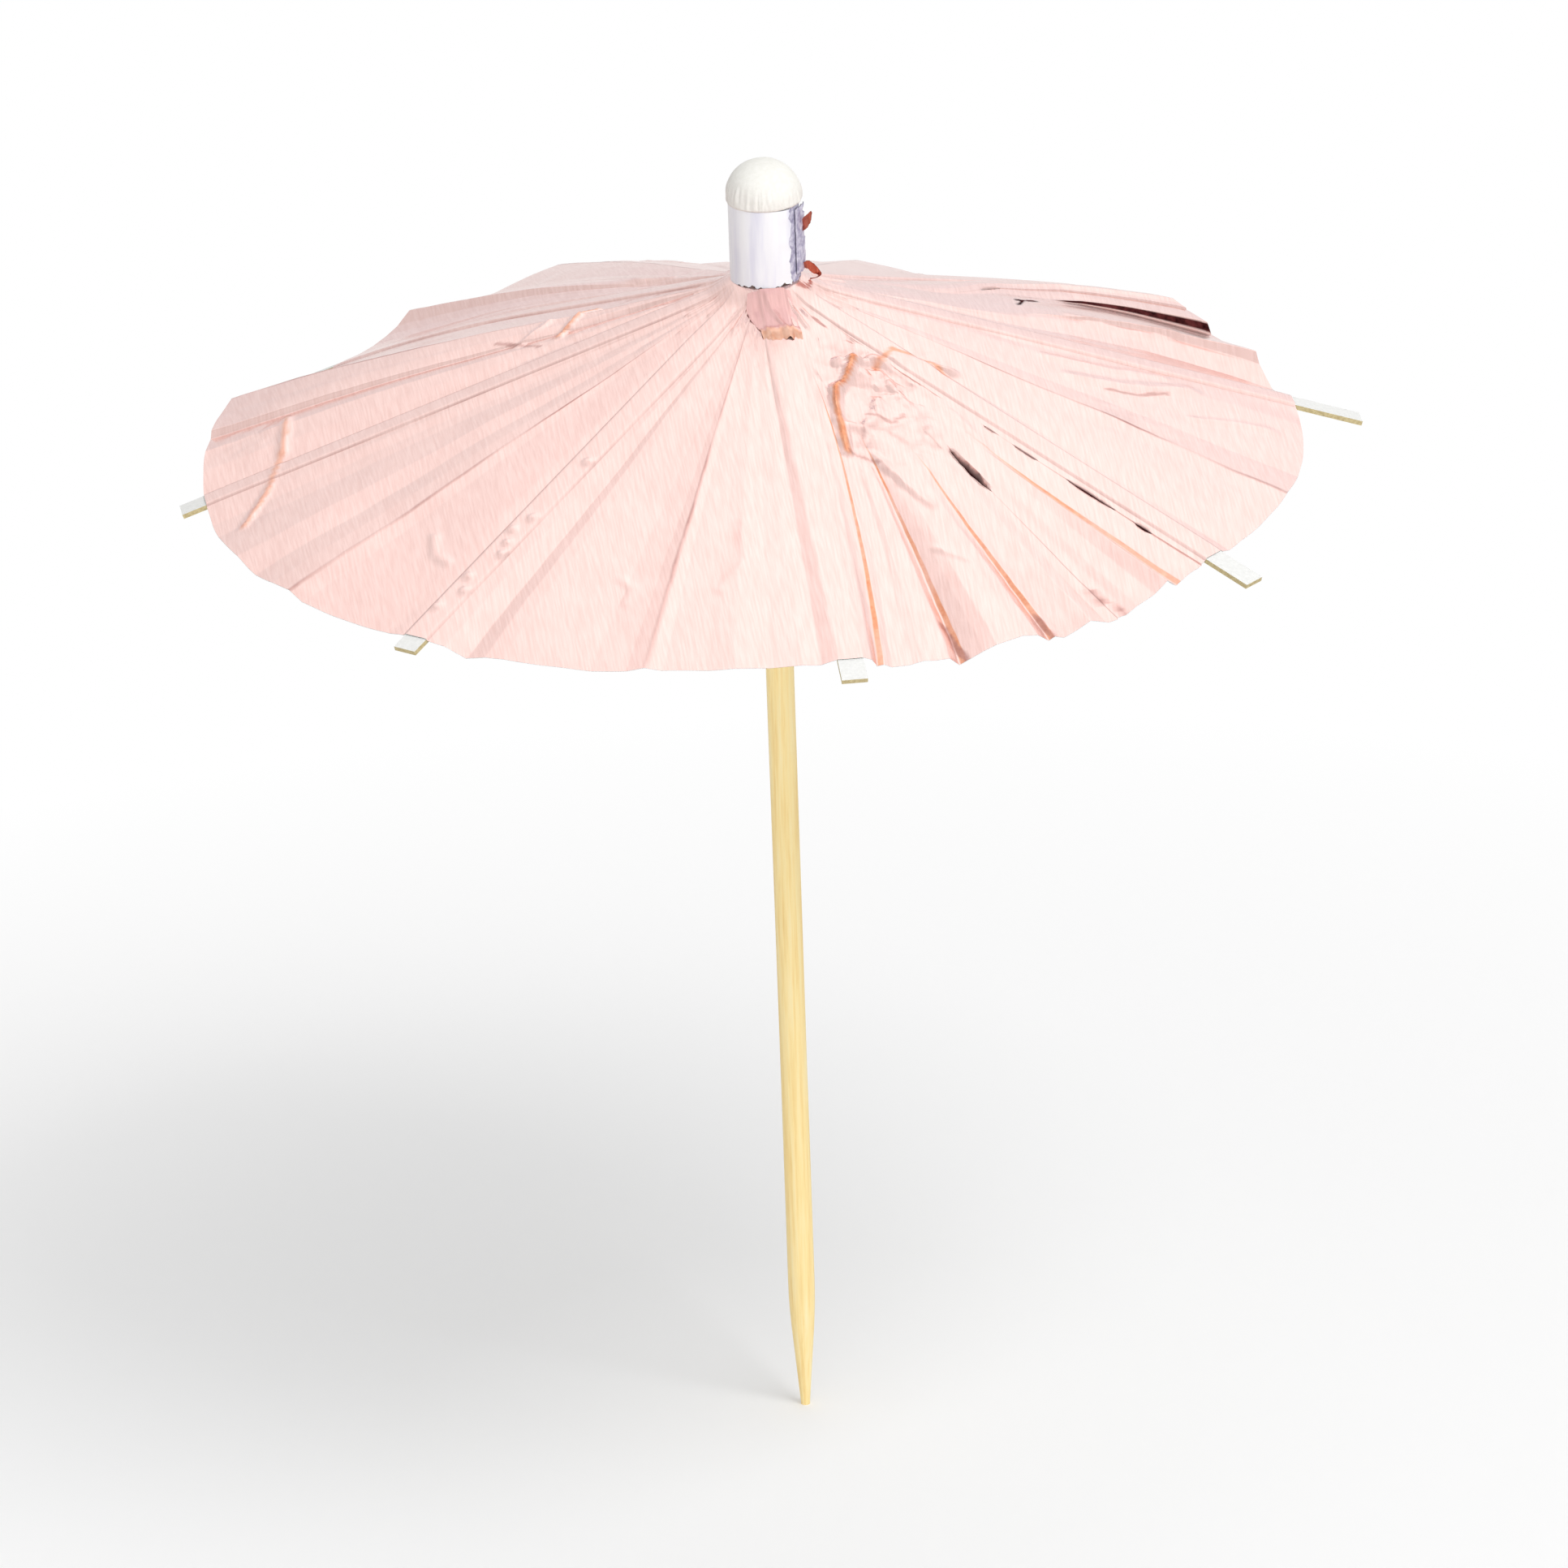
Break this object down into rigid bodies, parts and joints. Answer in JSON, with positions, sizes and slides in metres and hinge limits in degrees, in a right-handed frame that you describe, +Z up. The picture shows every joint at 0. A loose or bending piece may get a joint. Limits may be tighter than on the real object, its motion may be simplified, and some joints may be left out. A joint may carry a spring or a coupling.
{
  "type": "cocktail umbrella pick",
  "caption": "Small paper umbrella on a pointed wooden stick: pleated foil canopy on card ribs that fold with sliding struts, a paper sleeve and a tissue cap.",
  "frame": {"origin": "the point of the stick, on the stick's axis", "axes": "+Z up along the stick to the cap, +X along the first rib"},
  "size_m": [0.0882, 0.0882, 0.1],
  "materials": {
    "birch": "satin",
    "card": "matte",
    "foil_paper": "polished",
    "sleeve_paper": "satin",
    "tissue": "matte",
    "plain_paper": "matte",
    "ring_plastic": "gloss"
  },
  "bodies": {
    "stick": {"stick": "birch", "rib_band": "card", "canopy_collar": "foil_paper", "top_sleeve": "sleeve_paper", "finial_cap": "tissue"},
    "runner": {"spacer_roll": "plain_paper", "strut_band": "card"},
    "ring": {"retaining_ring": "ring_plastic"},
    "rib_1": {"rib_1": "card", "canopy_gore_1": "foil_paper", "strut_tab_1": "card"},
    "strut_1": {"strut_1": "card"},
    "rib_2": {"rib_2": "card", "canopy_gore_2": "foil_paper", "strut_tab_2": "card"},
    "strut_2": {"strut_2": "card"},
    "rib_3": {"rib_3": "card", "canopy_gore_3": "foil_paper", "strut_tab_3": "card"},
    "strut_3": {"strut_3": "card"},
    "rib_4": {"rib_4": "card", "canopy_gore_4": "foil_paper", "strut_tab_4": "card"},
    "strut_4": {"strut_4": "card"},
    "rib_5": {"rib_5": "card", "canopy_gore_5": "foil_paper", "strut_tab_5": "card"},
    "strut_5": {"strut_5": "card"},
    "rib_6": {"rib_6": "card", "canopy_gore_6": "foil_paper", "strut_tab_6": "card"},
    "strut_6": {"strut_6": "card"},
    "rib_7": {"rib_7": "card", "canopy_gore_7": "foil_paper", "strut_tab_7": "card"},
    "strut_7": {"strut_7": "card"},
    "rib_8": {"rib_8": "card", "canopy_gore_8": "foil_paper", "strut_tab_8": "card"},
    "strut_8": {"strut_8": "card"}
  },
  "joints": [
    {"name": "runner_slide", "type": "slide", "parent": "stick", "child": "runner", "axis": [0, 0, 1], "range_m": [-0.02306, 0], "deforming": ["canopy_gore_1", "canopy_gore_2", "canopy_gore_3", "canopy_gore_4", "canopy_gore_5", "canopy_gore_6", "canopy_gore_7", "canopy_gore_8"]},
    {"name": "ring_slide", "type": "slide", "parent": "runner", "child": "ring", "axis": [0, 0, 1], "range_m": [-0.008, 0]},
    {"name": "rib_hinge_1", "type": "hinge", "parent": "stick", "child": "rib_1", "pos_m": [0.00213, 0, 0.09026], "axis": [0, 1, 0], "range_deg": [0, 65.01]},
    {"name": "strut_hinge_1", "type": "hinge", "parent": "rib_1", "child": "strut_1", "pos_m": [0.02085, 0, 0.08321], "axis": [0, 1, 0], "range_deg": [-119.56, 0]},
    {"name": "rib_hinge_2", "type": "hinge", "parent": "stick", "child": "rib_2", "pos_m": [0.00151, 0.00151, 0.09026], "axis": [-0.7071, 0.7071, 0], "range_deg": [0, 65.01]},
    {"name": "strut_hinge_2", "type": "hinge", "parent": "rib_2", "child": "strut_2", "pos_m": [0.01474, 0.01474, 0.08321], "axis": [-0.7071, 0.7071, 0], "range_deg": [-119.56, 0]},
    {"name": "rib_hinge_3", "type": "hinge", "parent": "stick", "child": "rib_3", "pos_m": [0, 0.00213, 0.09026], "axis": [-1, 0, 0], "range_deg": [0, 65.01]},
    {"name": "strut_hinge_3", "type": "hinge", "parent": "rib_3", "child": "strut_3", "pos_m": [0, 0.02085, 0.08321], "axis": [-1, 0, 0], "range_deg": [-119.56, 0]},
    {"name": "rib_hinge_4", "type": "hinge", "parent": "stick", "child": "rib_4", "pos_m": [-0.00151, 0.00151, 0.09026], "axis": [-0.7071, -0.7071, 0], "range_deg": [0, 65.01]},
    {"name": "strut_hinge_4", "type": "hinge", "parent": "rib_4", "child": "strut_4", "pos_m": [-0.01474, 0.01474, 0.08321], "axis": [-0.7071, -0.7071, 0], "range_deg": [-119.56, 0]},
    {"name": "rib_hinge_5", "type": "hinge", "parent": "stick", "child": "rib_5", "pos_m": [-0.00213, 0, 0.09026], "axis": [0, -1, 0], "range_deg": [0, 65.01]},
    {"name": "strut_hinge_5", "type": "hinge", "parent": "rib_5", "child": "strut_5", "pos_m": [-0.02085, 0, 0.08321], "axis": [0, -1, 0], "range_deg": [-119.56, 0]},
    {"name": "rib_hinge_6", "type": "hinge", "parent": "stick", "child": "rib_6", "pos_m": [-0.00151, -0.00151, 0.09026], "axis": [0.7071, -0.7071, 0], "range_deg": [0, 65.01]},
    {"name": "strut_hinge_6", "type": "hinge", "parent": "rib_6", "child": "strut_6", "pos_m": [-0.01474, -0.01474, 0.08321], "axis": [0.7071, -0.7071, 0], "range_deg": [-119.56, 0]},
    {"name": "rib_hinge_7", "type": "hinge", "parent": "stick", "child": "rib_7", "pos_m": [0, -0.00213, 0.09026], "axis": [1, 0, 0], "range_deg": [0, 65.01]},
    {"name": "strut_hinge_7", "type": "hinge", "parent": "rib_7", "child": "strut_7", "pos_m": [0, -0.02085, 0.08321], "axis": [1, 0, 0], "range_deg": [-119.56, 0]},
    {"name": "rib_hinge_8", "type": "hinge", "parent": "stick", "child": "rib_8", "pos_m": [0.00151, -0.00151, 0.09026], "axis": [0.7071, 0.7071, 0], "range_deg": [0, 65.01]},
    {"name": "strut_hinge_8", "type": "hinge", "parent": "rib_8", "child": "strut_8", "pos_m": [0.01474, -0.01474, 0.08321], "axis": [0.7071, 0.7071, 0], "range_deg": [-119.56, 0]}
  ],
  "couplings": [
    {"joint": "rib_hinge_1", "follows": "runner_slide", "rad_per_m": -49.196},
    {"joint": "strut_hinge_1", "follows": "runner_slide", "rad_per_m": 90.484},
    {"joint": "rib_hinge_2", "follows": "runner_slide", "rad_per_m": -49.196},
    {"joint": "strut_hinge_2", "follows": "runner_slide", "rad_per_m": 90.484},
    {"joint": "rib_hinge_3", "follows": "runner_slide", "rad_per_m": -49.196},
    {"joint": "strut_hinge_3", "follows": "runner_slide", "rad_per_m": 90.484},
    {"joint": "rib_hinge_4", "follows": "runner_slide", "rad_per_m": -49.196},
    {"joint": "strut_hinge_4", "follows": "runner_slide", "rad_per_m": 90.484},
    {"joint": "rib_hinge_5", "follows": "runner_slide", "rad_per_m": -49.196},
    {"joint": "strut_hinge_5", "follows": "runner_slide", "rad_per_m": 90.484},
    {"joint": "rib_hinge_6", "follows": "runner_slide", "rad_per_m": -49.196},
    {"joint": "strut_hinge_6", "follows": "runner_slide", "rad_per_m": 90.484},
    {"joint": "rib_hinge_7", "follows": "runner_slide", "rad_per_m": -49.196},
    {"joint": "strut_hinge_7", "follows": "runner_slide", "rad_per_m": 90.484},
    {"joint": "rib_hinge_8", "follows": "runner_slide", "rad_per_m": -49.196},
    {"joint": "strut_hinge_8", "follows": "runner_slide", "rad_per_m": 90.484}
  ]
}
